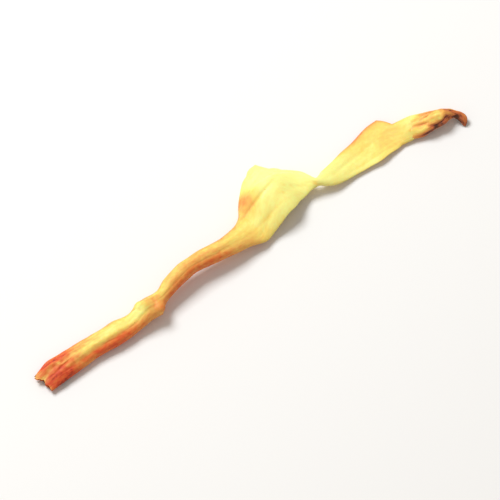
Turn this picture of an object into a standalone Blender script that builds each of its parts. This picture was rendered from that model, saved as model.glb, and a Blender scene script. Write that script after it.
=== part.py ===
"""A dried enoki mushroom, lying on a flat surface: a shrivelled, flattened stem and its small cap.

The tables below are in millimetres and degrees. +X runs along the mushroom, from the torn foot of the
stem to the tip of the cap, +Y is to its left and +Z is up.
"""

import bpy
import bmesh
import numpy as np

MM = 0.001

# How finely the two pieces are built: the points of a cross-section and of its middle line, and the
# distance from one cross-section to the next. The cap sits this far beyond the stem's rim.
RING_POINTS = 32
MIDDLE_POINTS = 81
RING_SPACING = 0.85
CAP_RING_SPACING = 0.5
CAP_GAP = 0.3

# Colour and roughness of the dried tissue.
STEM_COLOUR = (0.84, 0.60, 0.20)
CAP_COLOUR = (0.60, 0.33, 0.09)
TISSUE_ROUGHNESS = 0.6

# The flap's crease: half its breadth, as a share of half the width, and how much steeper than the flap
# the short wall in it is.
CREASE_BREADTH = 0.08
CREASE_DROP = 1.3

# Each station of the stem, from foot to rim: the left and the right edge seen from above, how far the
# lowest point is above the ground (below zero it is pressed flat), and the thickness at the middle.
STEM_EDGES = (
    # left x, y    right x, y    lift  thick
    (0.1, 1.9, 0.7, -1.9, 0.25, 1.5),
    (2.4, 2.7, 2.9, -1.7, 0.0, 1.9),
    (5.6, 2.9, 5.6, -1.5, -0.15, 2.2),
    (10.7, 2.6, 10.5, -1.2, -0.2, 2.5),
    (15.0, 2.6, 14.6, -1.5, -0.1, 2.6),
    (18.6, 2.25, 18.2, -1.15, 0.1, 2.5),
    (19.9, 2.7, 20.4, -1.1, 0.3, 2.9),
    (21.6, 2.75, 22.7, -0.95, 0.5, 3.0),
    (23.6, 2.65, 24.2, 0.1, 0.8, 2.5),
    (26.3, 3.7, 27.2, 1.1, 1.2, 2.4),
    (30.2, 4.5, 31.0, 1.65, 1.5, 2.4),
    (34.1, 4.6, 34.2, 1.5, 1.5, 2.3),
    (38.0, 4.5, 37.8, 1.05, 1.3, 2.2),
    (41.0, 5.3, 41.6, 0.75, 0.9, 2.0),
    (42.6, 6.5, 44.1, 0.5, 0.5, 1.8),
    (43.8, 8.3, 46.1, 0.9, 0.1, 1.6),
    (45.4, 10.2, 47.9, 1.4, -0.1, 1.5),
    (47.4, 12.1, 49.7, 1.85, -0.15, 1.4),
    (49.6, 13.3, 51.3, 2.35, -0.15, 1.3),
    (51.9, 12.1, 52.8, 3.0, 0.0, 1.2),
    (53.9, 9.6, 54.2, 3.5, 0.7, 1.2),
    (55.6, 7.3, 55.5, 3.7, 1.2, 1.3),
    (56.7, 5.2, 56.7, 3.5, 1.2, 1.4),
    (58.5, 5.5, 58.7, 2.5, 0.9, 1.2),
    (62.9, 6.85, 62.6, 2.2, 0.2, 1.0),
    (66.4, 7.6, 66.0, 2.0, -0.1, 0.9),
    (69.9, 8.5, 69.0, 2.0, -0.1, 0.9),
    (71.8, 8.1, 71.2, 2.1, -0.05, 0.9),
    (73.7, 6.4, 72.9, 2.1, 0.1, 1.2),
    (76.2, 5.9, 74.3, 2.0, 0.2, 1.5),
)

# The bend of the same cross-sections: the tilt (the left edge up), the cup (both edges up), the fold of
# the flap beyond the crease, and where the crease is, from -1 at the right edge to 1 at the left.
STEM_BENDS = (
    # tilt  cup  fold  crease
    (4, 12, 0, 0.9),
    (2, 0, 0, 0.9),
    (0, -8, 0, 0.9),
    (0, -8, 0, 0.9),
    (0, -6, 0, 0.9),
    (-2, 0, 0, 0.9),
    (-6, 6, 0, 0.9),
    (-8, 0, 0, 0.9),
    (-4, -6, 0, 0.9),
    (0, -6, 0, 0.9),
    (4, -4, 0, 0.9),
    (6, 0, 0, 0.9),
    (8, 6, 0, 0.9),
    (6, 2, -8, 0.8),
    (5, 0, -30, 0.68),
    (4, -4, -40, 0.52),
    (3, -6, -40, 0.34),
    (2, -8, -34, 0.16),
    (2, -8, -28, 0.06),
    (2, -6, -26, 0.16),
    (3, -2, -22, 0.4),
    (3, 0, -14, 0.6),
    (8, 0, -4, 0.8),
    (8, 2, 0, 0.9),
    (4, 8, 0, 0.9),
    (-2, 12, 0, 0.9),
    (-3, 14, 0, 0.9),
    (0, 10, 0, 0.9),
    (4, 0, 0, 0.9),
    (6, -10, 0, 0.9),
)

# The cap, from its neck to the point of its hook, in the same columns.
CAP_EDGES = (
    (76.2, 5.6, 74.3, 2.1, 0.25, 1.1),
    (77.4, 5.4, 75.7, 1.7, 0.2, 1.7),
    (78.7, 4.95, 77.2, 1.5, 0.3, 2.0),
    (79.9, 4.25, 78.7, 1.35, 0.4, 2.0),
    (81.1, 3.5, 80.1, 1.25, 0.6, 1.8),
    (82.1, 2.75, 81.1, 1.6, 0.7, 1.5),
    (82.9, 1.9, 81.6, 1.55, 0.7, 1.2),
    (83.5, 1.1, 82.0, 1.1, 0.6, 1.0),
    (83.5, 0.3, 82.2, 0.5, 0.4, 0.9),
    (83.1, -0.25, 82.4, 0.0, 0.2, 0.7),
    (82.8, -0.5, 82.5, -0.35, 0.1, 0.4),
)
CAP_BENDS = (
    (6, -10, 0, 0.0),
    (6, -16, -10, 0.0),
    (4, -20, -20, 0.0),
    (0, -22, -24, 0.0),
    (-4, -22, -22, 0.0),
    (-8, -18, -14, 0.0),
    (-10, -14, -6, 0.0),
    (-10, -10, 0, 0.0),
    (-8, -6, 0, 0.0),
    (-4, 0, 0, 0.0),
    (0, 0, 0, 0.0),
)

# The long wrinkles that show from a step away: where each starts and ends along X, its place across the
# top (-1 right, 1 left) at both ends, its depth (below zero it is a ridge), and its breadth across. A
# wrinkle has its full depth where the tissue is at least FULL_DEPTH_THICKNESS, and END_FADE is the power
# of a sine that it comes and goes with.
FULL_DEPTH_THICKNESS = 1.6
END_FADE = 0.7
TOP_WRINKLES = (
    (-2.0, 13.0, 0.30, 0.15, 0.45, 0.14),
    (-2.0, 10.0, 0.60, 0.45, -0.35, 0.13),
    (1.0, 17.0, -0.20, -0.05, -0.20, 0.16),
    (4.0, 24.0, -0.50, -0.40, 0.40, 0.15),
    (17.0, 25.0, 0.55, 0.20, -0.35, 0.20),
    (22.0, 44.0, -0.45, -0.30, 0.35, 0.16),
    (26.0, 41.0, 0.10, 0.30, -0.20, 0.16),
    (40.0, 57.0, -0.64, -0.45, 0.35, 0.10),
    (44.0, 54.0, -0.25, -0.10, 0.18, 0.12),
    (57.0, 74.0, -0.10, 0.15, 0.20, 0.16),
    (63.0, 76.0, -0.60, -0.50, 0.18, 0.13),
    (74.0, 81.5, -0.10, -0.80, 0.70, 0.17),
    (75.0, 83.0, 0.60, 0.40, 0.40, 0.13),
    (75.0, 83.0, 0.25, 0.00, -0.25, 0.16),
)
UNDER_WRINKLES = (
    (-2.0, 20.0, -0.15, 0.10, 0.40, 0.18),
    (21.0, 47.0, 0.10, -0.10, 0.60, 0.22),
    (42.0, 55.0, 0.35, 0.20, 0.30, 0.15),
    (56.0, 66.0, 0.20, 0.00, 0.25, 0.18),
    (74.0, 83.0, 0.10, 0.00, 0.50, 0.20),
)

# The torn foot: two prongs with a notch between them, each reaching past the first ring.
PRONG_REACH = (0.9, 0.5)
PRONG_PLACE = (0.62, -0.45)
PRONG_BREADTH = 0.26
NOTCH_DEPTH = 0.7
NOTCH_PLACE = 0.12
NOTCH_BREADTH = 0.2
TEAR_FADE = 3.0


def along(knots, values, at):
    """The smooth curve through the stations' values, read at the given distances."""
    slopes = np.gradient(values, knots, axis=0)
    span = np.clip(np.searchsorted(knots, at, side="right") - 1, 0, len(knots) - 2)
    length = (knots[span + 1] - knots[span])[:, None]
    t = ((at - knots[span]) / length[:, 0])[:, None]
    return (
        values[span] * (1 + 2 * t) * (1 - t) ** 2
        + slopes[span] * length * t * (1 - t) ** 2
        + values[span + 1] * t**2 * (3 - 2 * t)
        + slopes[span + 1] * length * t**2 * (t - 1)
    )


def smooth_step(value, low, high):
    t = np.clip((value - low) / (high - low), 0, 1)
    return t * t * (3 - 2 * t)


def wrinkle_depth(wrinkles, x, across):
    """How deep the wrinkles are at x, for each place across the section."""
    depth = np.zeros_like(across)
    for start, end, place, last_place, deep, breadth in wrinkles:
        share = (x - start) / (end - start)
        if 0 < share < 1:
            centre = place + (last_place - place) * share
            fade = np.sin(np.pi * share) ** END_FADE
            depth += deep * fade * np.exp(-(((across - centre) / breadth) ** 2))
    return depth


def section(edges, bends):
    """One closed cross-section, in millimetres: a bent strip of tissue, thickest in the middle."""
    left, right = np.array([edges[0:2], edges[2:4]])
    lift, thick = edges[4:6]
    tilt, cup, fold, crease = np.radians(bends[:3]).tolist() + [bends[3]]
    width = np.linalg.norm(left - right)
    centre = (left + right) / 2
    sideways = (left - right) / width

    # The middle line of the strip, from its right edge to its left, is bent first and then sized.
    place = np.linspace(-1, 1, MIDDLE_POINTS)
    beyond = smooth_step(place, crease - CREASE_BREADTH, crease + CREASE_BREADTH)
    drop = CREASE_DROP * np.exp(-(((place - crease) / CREASE_BREADTH) ** 2))
    angle = tilt + cup * place + fold * (beyond + drop)
    step = place[1] - place[0]
    run = np.concatenate([[0], np.cumsum(np.cos((angle[1:] + angle[:-1]) / 2)) * step])
    rise = np.concatenate([[0], np.cumsum(np.sin((angle[1:] + angle[:-1]) / 2)) * step])
    size = width / (run.max() - run.min())
    run, rise = (run - (run.max() + run.min()) / 2) * size, rise * size

    turn = np.arange(RING_POINTS) * 2 * np.pi / RING_POINTS
    across = np.cos(turn)
    bent = np.interp(across, place, angle)
    half = thick / 2 * np.sin(turn)
    dent = np.where(
        np.sin(turn) > 0,
        -wrinkle_depth(TOP_WRINKLES, centre[0], across),
        wrinkle_depth(UNDER_WRINKLES, centre[0], across),
    )
    half += dent * np.abs(np.sin(turn)) * min(1.0, thick / FULL_DEPTH_THICKNESS)
    aside = np.interp(across, place, run) - half * np.sin(bent)
    height = np.interp(across, place, rise) + half * np.cos(bent)
    height += lift - height.min()
    points = np.empty((RING_POINTS, 3))
    points[:, 0:2] = centre + aside[:, None] * sideways
    points[:, 2] = np.maximum(height, 0)
    return points


def tear(rings):
    """Pulls the first rings out into the torn foot's two prongs and its notch."""
    across = np.cos(np.arange(RING_POINTS) * 2 * np.pi / RING_POINTS)
    reach = -NOTCH_DEPTH * np.exp(-(((across - NOTCH_PLACE) / NOTCH_BREADTH) ** 2))
    for place, out in zip(PRONG_PLACE, PRONG_REACH):
        reach += out * np.exp(-(((across - place) / PRONG_BREADTH) ** 2))
    for ring in rings:
        fade = 1 - smooth_step(ring[:, 0], 0, TEAR_FADE)
        ring[:, 0] -= reach * fade
    return rings


def rings_of(edge_table, bend_table, spacing):
    """The piece's cross-sections, evenly spaced along its middle line."""
    edges, bends = np.array(edge_table, float), np.array(bend_table, float)
    middle = (edges[:, 0:2] + edges[:, 2:4]) / 2
    steps = np.linalg.norm(np.diff(middle, axis=0), axis=1)
    knots = np.concatenate([[0], np.cumsum(steps)])
    at = np.linspace(0, knots[-1], round(knots[-1] / spacing) + 1)
    rows = zip(along(knots, edges, at), along(knots, bends, at))
    return [section(edge, bend) for edge, bend in rows]


def tissue(name, colour):
    """The plain material of one piece."""
    made = bpy.data.materials.new(name)
    made.use_nodes = True
    shader = made.node_tree.nodes["Principled BSDF"]
    shader.inputs["Base Color"].default_value = (*colour, 1)
    shader.inputs["Roughness"].default_value = TISSUE_ROUGHNESS
    shader.inputs["Metallic"].default_value = 0
    return made


def loft(name, rings, finish, collection):
    """Skins the rings and closes both ends from the upper side to the under side."""
    mesh = bmesh.new()
    loops = [[mesh.verts.new(point * MM) for point in ring] for ring in rings]
    for ring, following in zip(loops, loops[1:]):
        for i in range(RING_POINTS):
            j = (i + 1) % RING_POINTS
            mesh.faces.new((ring[i], ring[j], following[j], following[i]))
    half = RING_POINTS // 2
    for ring in (loops[0], loops[-1]):
        for i in range(half):
            corners = (ring[i], ring[i + 1], ring[-i - 1], ring[-i])
            mesh.faces.new(list(dict.fromkeys(corners)))
    bmesh.ops.recalc_face_normals(mesh, faces=mesh.faces)
    data = bpy.data.meshes.new(name)
    mesh.to_mesh(data)
    mesh.free()
    data.shade_smooth()
    data.materials.append(finish)
    piece = bpy.data.objects.new(name, data)
    collection.objects.link(piece)
    return piece


def centre_on_ground(pieces):
    """Puts the origin under the middle of the mushroom's box."""
    corners = np.array([v.co for piece in pieces for v in piece.data.vertices])
    low, high = corners.min(axis=0), corners.max(axis=0)
    for piece in pieces:
        piece.location = (-(low[0] + high[0]) / 2, -(low[1] + high[1]) / 2, -low[2])


def main():
    for old in list(bpy.data.objects):
        bpy.data.objects.remove(old, do_unlink=True)
    collection = bpy.data.collections.new("dried enoki mushroom")
    bpy.context.scene.collection.children.link(collection)

    stem_rings = tear(rings_of(STEM_EDGES, STEM_BENDS, RING_SPACING))
    cap_rings = rings_of(CAP_EDGES, CAP_BENDS, CAP_RING_SPACING)
    for ring in cap_rings:
        ring[:, 0] += CAP_GAP
    stem = loft("stem", stem_rings, tissue("dried stem", STEM_COLOUR), collection)
    cap = loft("cap", cap_rings, tissue("dried cap", CAP_COLOUR), collection)
    centre_on_ground([stem, cap])


main()
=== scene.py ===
# %% [markdown]
# A dried enoki mushroom
#
# One dried mushroom lies on a pale surface. Its stem shrank into a long bent strip with a torn foot, a
# knuckle, a folded flap, a narrow waist and a pale rim, and its small brown cap curls into a hook. The
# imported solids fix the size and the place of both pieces. The cells below put a finer skin over each solid,
# with the wrinkles, the grain and the colours of dried tissue.

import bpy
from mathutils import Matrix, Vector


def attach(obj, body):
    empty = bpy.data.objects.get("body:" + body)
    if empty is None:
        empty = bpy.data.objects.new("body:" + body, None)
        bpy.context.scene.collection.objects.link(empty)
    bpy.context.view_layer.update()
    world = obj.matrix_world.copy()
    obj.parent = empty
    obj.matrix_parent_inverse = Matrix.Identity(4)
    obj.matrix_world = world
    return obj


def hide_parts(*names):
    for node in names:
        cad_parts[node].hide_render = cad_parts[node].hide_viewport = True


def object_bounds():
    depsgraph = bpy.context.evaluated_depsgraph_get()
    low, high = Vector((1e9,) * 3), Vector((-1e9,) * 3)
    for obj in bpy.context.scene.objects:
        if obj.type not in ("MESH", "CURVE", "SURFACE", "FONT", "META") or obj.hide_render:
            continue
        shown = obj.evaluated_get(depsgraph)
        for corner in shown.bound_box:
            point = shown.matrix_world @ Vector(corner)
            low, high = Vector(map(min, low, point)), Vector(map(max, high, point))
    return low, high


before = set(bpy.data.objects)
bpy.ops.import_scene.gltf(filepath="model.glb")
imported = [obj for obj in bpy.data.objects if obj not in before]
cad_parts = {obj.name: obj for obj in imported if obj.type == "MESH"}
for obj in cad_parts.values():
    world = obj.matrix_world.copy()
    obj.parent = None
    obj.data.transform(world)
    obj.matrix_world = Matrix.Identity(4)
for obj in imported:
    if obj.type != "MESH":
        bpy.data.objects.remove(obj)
cad_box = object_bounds()
print("pieces:", ", ".join(sorted(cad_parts)))

# %% Modules and units
import math

import bpy
import numpy as np
from mathutils import Vector, noise

MM = 0.001
print("box in millimetres:", [round(size / MM, 1) for size in cad_box[1] - cad_box[0]])

# %% [markdown]
# A fresh stem is a thin tube. Drying crushes it flat, so each cross-section is a bent strip of tissue. A
# curve with a bevel would keep one section all the way, and this strip widens, cups, folds over and narrows
# again. So the stem is described by stations along its length, as a boat builder describes a hull, and a
# smooth skin is laid through them.

# %% Stations of the stem
# Millimetres: the left and the right edge seen from above, the height of the lowest point (below zero it is
# pressed flat on the ground), and the thickness in the middle of the strip. Degrees: the tilt (left edge
# up), the cup (both edges up) and the fold of the flap beyond its crease. The last column is where the
# crease is, from -1 at the right edge to 1 at the left.
STEM_STATIONS = (
    # left x, y, right x, y, lift, thickness, tilt, cup, fold, crease
    (0.1, 1.9, 0.7, -1.9, 0.25, 1.5, 4, 12, 0, 0.9),
    (2.4, 2.7, 2.9, -1.7, 0, 1.9, 2, 0, 0, 0.9),
    (5.6, 2.9, 5.6, -1.5, -0.15, 2.2, 0, -8, 0, 0.9),
    (10.7, 2.6, 10.5, -1.2, -0.2, 2.5, 0, -8, 0, 0.9),
    (15, 2.6, 14.6, -1.5, -0.1, 2.6, 0, -6, 0, 0.9),
    (18.6, 2.25, 18.2, -1.15, 0.1, 2.5, -2, 0, 0, 0.9),
    (19.9, 2.7, 20.4, -1.1, 0.3, 2.9, -6, 6, 0, 0.9),
    (21.6, 2.75, 22.7, -0.95, 0.5, 3, -8, 0, 0, 0.9),
    (23.6, 2.65, 24.2, 0.1, 0.8, 2.5, -4, -6, 0, 0.9),
    (26.3, 3.7, 27.2, 1.1, 1.2, 2.4, 0, -6, 0, 0.9),
    (30.2, 4.5, 31, 1.65, 1.5, 2.4, 4, -4, 0, 0.9),
    (34.1, 4.6, 34.2, 1.5, 1.5, 2.3, 6, 0, 0, 0.9),
    (38, 4.5, 37.8, 1.05, 1.3, 2.2, 8, 6, 0, 0.9),
    (41, 5.3, 41.6, 0.75, 0.9, 2, 6, 2, -8, 0.8),
    (42.6, 6.5, 44.1, 0.5, 0.5, 1.8, 5, 0, -30, 0.68),
    (43.8, 8.3, 46.1, 0.9, 0.1, 1.6, 4, -4, -40, 0.52),
    (45.4, 10.2, 47.9, 1.4, -0.1, 1.5, 3, -6, -40, 0.34),
    (47.4, 12.1, 49.7, 1.85, -0.15, 1.4, 2, -8, -34, 0.16),
    (49.6, 13.3, 51.3, 2.35, -0.15, 1.3, 2, -8, -28, 0.06),
    (51.9, 12.1, 52.8, 3, 0, 1.2, 2, -6, -26, 0.16),
    (53.9, 9.6, 54.2, 3.5, 0.7, 1.2, 3, -2, -22, 0.4),
    (55.6, 7.3, 55.5, 3.7, 1.2, 1.3, 3, 0, -14, 0.6),
    (56.7, 5.2, 56.7, 3.5, 1.2, 1.4, 8, 0, -4, 0.8),
    (58.5, 5.5, 58.7, 2.5, 0.9, 1.2, 8, 2, 0, 0.9),
    (62.9, 6.85, 62.6, 2.2, 0.2, 1, 4, 8, 0, 0.9),
    (66.4, 7.6, 66, 2, -0.1, 0.9, -2, 12, 0, 0.9),
    (69.9, 8.5, 69, 2, -0.1, 0.9, -3, 14, 0, 0.9),
    (71.8, 8.1, 71.2, 2.1, -0.05, 0.9, 0, 10, 0, 0.9),
    (73.7, 6.4, 72.9, 2.1, 0.1, 1.2, 4, 0, 0, 0.9),
    (76.2, 5.9, 74.3, 2, 0.2, 1.5, 6, -10, 0, 0.9),
)
print("stations of the stem:", len(STEM_STATIONS))

# %% [markdown]
# The fresh cap is a small round knob. This one dried into a ribbed hood that curls round to the right and
# runs out in a hook. It could be a sphere, pressed flat and bent, but a sphere's poles would show in the
# folds. So it is a strip too, with stations that are closer together where it curls.

# %% Stations of the cap
CAP_STATIONS = (
    (76.2, 5.6, 74.3, 2.1, 0.25, 1.1, 6, -10, 0, 0),
    (77.4, 5.4, 75.7, 1.7, 0.2, 1.7, 6, -16, -10, 0),
    (78.7, 4.95, 77.2, 1.5, 0.3, 2, 4, -20, -20, 0),
    (79.9, 4.25, 78.7, 1.35, 0.4, 2, 0, -22, -24, 0),
    (81.1, 3.5, 80.1, 1.25, 0.6, 1.8, -4, -22, -22, 0),
    (82.1, 2.75, 81.1, 1.6, 0.7, 1.5, -8, -18, -14, 0),
    (82.9, 1.9, 81.6, 1.55, 0.7, 1.2, -10, -14, -6, 0),
    (83.5, 1.1, 82, 1.1, 0.6, 1, -10, -10, 0, 0),
    (83.5, 0.3, 82.2, 0.5, 0.4, 0.9, -8, -6, 0, 0),
    (83.1, -0.25, 82.4, 0, 0.2, 0.7, -4, 0, 0, 0),
    (82.8, -0.5, 82.5, -0.35, 0.1, 0.4, 0, 0, 0, 0),
)
print("stations of the cap:", len(CAP_STATIONS))

# %% [markdown]
# Straight runs between stations would show as kinks. A cubic Hermite curve passes through every station and
# leaves it in the direction of its neighbours, so the edges of the strip flow on from one to the next.

# %% Curve and blend helpers
def along(knots, values, at):
    """The smooth curve through the stations' values, read at the given distances."""
    slopes = np.gradient(values, knots, axis=0)
    span = np.clip(np.searchsorted(knots, at, side="right") - 1, 0, len(knots) - 2)
    length = (knots[span + 1] - knots[span])[:, None]
    t = ((at - knots[span]) / length[:, 0])[:, None]
    return (
        values[span] * (1 + 2 * t) * (1 - t) ** 2
        + slopes[span] * length * t * (1 - t) ** 2
        + values[span + 1] * t**2 * (3 - 2 * t)
        + slopes[span + 1] * length * t**2 * (t - 1)
    )


def smooth_step(value, low, high):
    """0 below low, 1 above high and a soft S between them."""
    t = np.clip((value - low) / (high - low), 0, 1)
    return t * t * (3 - 2 * t)


def soft_hill(offset, breadth):
    """1 in the middle, with a soft fall to either side."""
    return np.exp(-((offset / breadth) ** 2))


print("a quarter of the way up the soft S:", round(float(smooth_step(0.25, 0, 1)), 3))

# %% [markdown]
# The middle line of the strip is bent first, from its right edge to its left, and then scaled to the width
# that the two edges leave. Half the thickness is put on either side of it, most in the middle, so the edges
# come out thin, as the crushed sides of a tube are.

# %% Cross-section helper
MIDDLE_POINTS = 161
# The crease's breadth, as a share of half the width, and how much steeper than the flap it falls.
CREASE_BREADTH = 0.08
CREASE_DROP = 1.3


def section(station, turn):
    """One closed cross-section in millimetres, with a point for each angle of turn."""
    left, right = station[0:2], station[2:4]
    lift, thick = station[4:6]
    tilt, cup, fold = np.radians(station[6:9])
    crease = station[9]
    width = np.linalg.norm(left - right)
    sideways = (left - right) / width

    place = np.linspace(-1, 1, MIDDLE_POINTS)
    beyond = smooth_step(place, crease - CREASE_BREADTH, crease + CREASE_BREADTH)
    drop = CREASE_DROP * soft_hill(place - crease, CREASE_BREADTH)
    angle = tilt + cup * place + fold * (beyond + drop)
    step = place[1] - place[0]
    between = (angle[1:] + angle[:-1]) / 2
    run, rise = [np.append(0, np.cumsum(part(between)) * step) for part in (np.cos, np.sin)]
    size = width / (run.max() - run.min())
    run, rise = (run - (run.max() + run.min()) / 2) * size, rise * size

    across = np.cos(turn)
    bent = np.interp(across, place, angle)
    half = thick / 2 * np.sin(turn)
    aside = np.interp(across, place, run) - half * np.sin(bent)
    height = np.interp(across, place, rise) + half * np.cos(bent)
    points = np.empty((len(turn), 3))
    points[:, 0:2] = (left + right) / 2 + aside[:, None] * sideways
    points[:, 2] = height + lift - height.min()
    return points


print("points on the middle line of a cross-section:", MIDDLE_POINTS)

# %% [markdown]
# Every piece is kept as a grid: rings along the length, points around each ring. Beside its position each
# point has a place on the strip: millimetres along it, across it and through it. The wrinkles, the grain
# and the colours all use that place, so they follow the tissue round its bends as real fibres do. The two
# edges are slightly uneven, and a few nicks and bumps in them are placed one by one.

# %% Nicks in the edges
# How far towards the edge a nick starts to draw the tissue in or out, as a share of half the width.
NICK_START = 0.5
# Where along the edge, how far outward, and how far the nick or bump reaches to either side.
LEFT_NICKS = ((48.1, -0.3, 0.7), (50.6, 0.6, 0.5), (51.8, -0.95, 0.8), (53.4, -0.3, 0.5),
              (56.7, -0.25, 0.4), (71.3, 0.25, 0.5), (73.1, -0.45, 0.5))
RIGHT_NICKS = ((22.6, 0.25, 0.8), (57.6, 0.1, 0.6), (72.4, -0.4, 1.2))
HOOK_BUMPS = ((82.0, 0.2, 0.6),)


def edge_nicks(edge_x, nicks):
    """How far the listed nicks and bumps move one edge outward."""
    moved = np.zeros_like(edge_x)
    for x, out, reach in nicks:
        moved += out * np.exp(-np.abs(edge_x - x) / reach)
    return moved


print("nicks and bumps:", len(LEFT_NICKS) + len(RIGHT_NICKS) + len(HOOK_BUMPS))

# %% Strip helper
# Where in the noise the two edges are read: the step between their lines, and the layer.
EDGE_NOISE_STEP = 5.0
EDGE_NOISE_LAYER = 1.5


class Strip:
    """A grid of rings, the place of each point on the strip, and where it is around its ring."""

    def __init__(self, table, spacing, points, uneven, left_nicks, right_nicks):
        stations = np.array(table, float)
        steps = np.diff((stations[:, 0:2] + stations[:, 2:4]) / 2, axis=0)
        knots = np.append(0, np.cumsum(np.linalg.norm(steps, axis=1)))
        at = np.linspace(0, knots[-1], round(knots[-1] / spacing) + 1)
        stations = along(knots, stations, at)
        width = np.linalg.norm(stations[:, 0:2] - stations[:, 2:4], axis=1, keepdims=True)
        sideways = (stations[:, 0:2] - stations[:, 2:4]) / width
        size, length = uneven
        for column, sign in ((0, 1), (2, -1)):
            line = EDGE_NOISE_STEP * column
            out = np.array([size * noise.noise((d / length, line, EDGE_NOISE_LAYER)) for d in at])
            stations[:, column:column + 2] += sign * out[:, None] * sideways
        self.turn = np.arange(points) * 2 * np.pi / points
        self.rings = np.array([section(station, self.turn) for station in stations])
        grid = np.ones((len(at), points))
        self.x = grid * ((stations[:, 0] + stations[:, 2]) / 2)[:, None]
        self.across = grid * np.cos(self.turn)
        self.upper = grid * np.sin(self.turn)
        self.thick = grid * stations[:, 5:6]
        for column, sign, nicks in ((0, 1, left_nicks), (2, -1, right_nicks)):
            out = edge_nicks(stations[:, column], nicks)[:, None]
            near = smooth_step(sign * self.across, NICK_START, 1) * out
            self.rings[..., 0:2] += sign * near[..., None] * sideways[:, None]
        through = self.upper * (self.thick / 2)
        self.place = np.stack([grid * at[:, None], self.across * width / 2, through], axis=-1)
        self.plan = self.rings[..., 0:2].copy()

    def outward(self):
        """The direction away from the tissue at each point."""
        ahead = np.gradient(self.rings, axis=0)
        around = np.roll(self.rings, -1, axis=1) - np.roll(self.rings, 1, axis=1)
        normal = np.cross(around, ahead)
        return normal / np.linalg.norm(normal, axis=-1, keepdims=True)


print("grid helper:", Strip.__name__)

# %% Grids of the two pieces
# Millimetres between rings, points around a ring, and the size and the length of the edges' unevenness.
STEM_SPACING = 0.145
CAP_SPACING = 0.07
POINTS_AROUND = 160
STEM_UNEVEN = (0.16, 2.6)
CAP_UNEVEN = (0.12, 1.6)

stem = Strip(STEM_STATIONS, STEM_SPACING, POINTS_AROUND, STEM_UNEVEN, LEFT_NICKS, RIGHT_NICKS)
cap = Strip(CAP_STATIONS, CAP_SPACING, POINTS_AROUND, CAP_UNEVEN, (), HOOK_BUMPS)
print("rings and points:", stem.rings.shape[:2], cap.rings.shape[:2])

# %% [markdown]
# Tissue that shrinks sideways gathers into long furrows with round backs. The few that show from a step
# away run nearly straight along the strip. Each could be a cut with a Boolean, but a cut has hard edges. So
# each is a line along the grid with a soft fall to either side, and one row of numbers says where it runs.

# %% Placed wrinkles
# Start and end in millimetres from the foot, the place across (-1 right, 1 left) at both, the depth (below
# zero it is a ridge) and the breadth, as a share of half the width.
TOP_WRINKLES = (
    (-2, 13, 0.3, 0.15, 0.12, 0.14),
    (-2, 10, 0.6, 0.45, -0.15, 0.13),
    (1, 17, -0.2, -0.05, -0.12, 0.18),
    (4, 24, -0.5, -0.4, 0.1, 0.18),
    (17, 25, 0.55, 0.2, -0.25, 0.2),
    (22, 44, -0.45, -0.3, 0.1, 0.18),
    (26, 41, 0.1, 0.3, -0.12, 0.2),
    (40, 57, -0.64, -0.45, 0.1, 0.12),
    (57, 74, -0.1, 0.15, 0.08, 0.18),
    (63, 76, -0.6, -0.5, 0.08, 0.15),
    (75, 83, 0.6, 0.4, 0.25, 0.13),
    (75, 83, 0.25, 0, -0.2, 0.16),
)
UNDER_WRINKLES = (
    (-2, 20, -0.15, 0.1, 0.4, 0.18),
    (21, 47, 0.1, -0.1, 0.6, 0.22),
    (42, 55, 0.35, 0.2, 0.3, 0.15),
    (56, 66, 0.2, 0, 0.25, 0.18),
    (74, 83, 0.1, 0, 0.5, 0.2),
)
# Millimetres of thickness from which a wrinkle is at its full depth, and how softly its two ends fade.
FULL_DEPTH_THICKNESS = 1.6
END_FADE = 0.7


def wrinkle_depth(wrinkles, x, across):
    """How deep the placed wrinkles are at each point."""
    depth = np.zeros_like(across)
    for start, end, place, last_place, deep, breadth in wrinkles:
        share = np.clip((x - start) / (end - start), 0, 1)
        centre = place + (last_place - place) * share
        fade = np.sin(np.pi * share) ** END_FADE
        depth += deep * fade * soft_hill(across - centre, breadth)
    return depth


def placed_wrinkles(strip):
    """The height, below zero in a wrinkle, that the placed wrinkles give each point."""
    top = wrinkle_depth(TOP_WRINKLES, strip.x, strip.across)
    under = wrinkle_depth(UNDER_WRINKLES, strip.x, strip.across)
    depth = np.where(strip.upper > 0, top, under)
    return -depth * np.abs(strip.upper) * np.minimum(1, strip.thick / FULL_DEPTH_THICKNESS)


print("placed wrinkles:", len(TOP_WRINKLES), "on top and", len(UNDER_WRINKLES), "underneath")

# %% [markdown]
# Some folds don't run straight along the stem: the ridge and the hollows at the foot, the swellings of the
# knuckle, the crease of the flap and the folds of the cap. Sculpt Mode's brushes could press them in, but a
# script that anyone can run again needs them as numbers. So each is a short path of points on the upper
# side, read as a smooth curve. It lowers or raises the tissue near it, and it may brown it or pale it: partly
# the tissue's own brown lines, partly painted shade along the grooves and painted highlight along the ridges.

# %% Distance to a drawn path
PATH_POINTS = 20


def distance_to_path(points, path):
    """Each point's distance to a smooth path, and the share of the path before the spot nearest to it."""
    corners = np.array(path, float)
    knots = np.arange(len(corners), dtype=float)
    smooth = along(knots, corners, np.linspace(0, knots[-1], PATH_POINTS))
    best = np.full(points.shape[:-1], np.inf)
    share = np.zeros(points.shape[:-1])
    for number, (start, end) in enumerate(zip(smooth, smooth[1:])):
        run = end - start
        t = np.clip((points - start) @ run / (run @ run), 0, 1)
        gap = np.linalg.norm(points - start - t[..., None] * run, axis=-1)
        nearer = gap < best
        best = np.where(nearer, gap, best)
        share = np.where(nearer, (number + t) / (PATH_POINTS - 1), share)
    return best, share


gap_beside, share_beside = distance_to_path(np.array([[1.0, 0.5]]), ((0, 0), (1, 0), (2, 0)))
print("a point beside a path's middle: gap", gap_beside[0], "share", share_beside[0].round(2))
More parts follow.
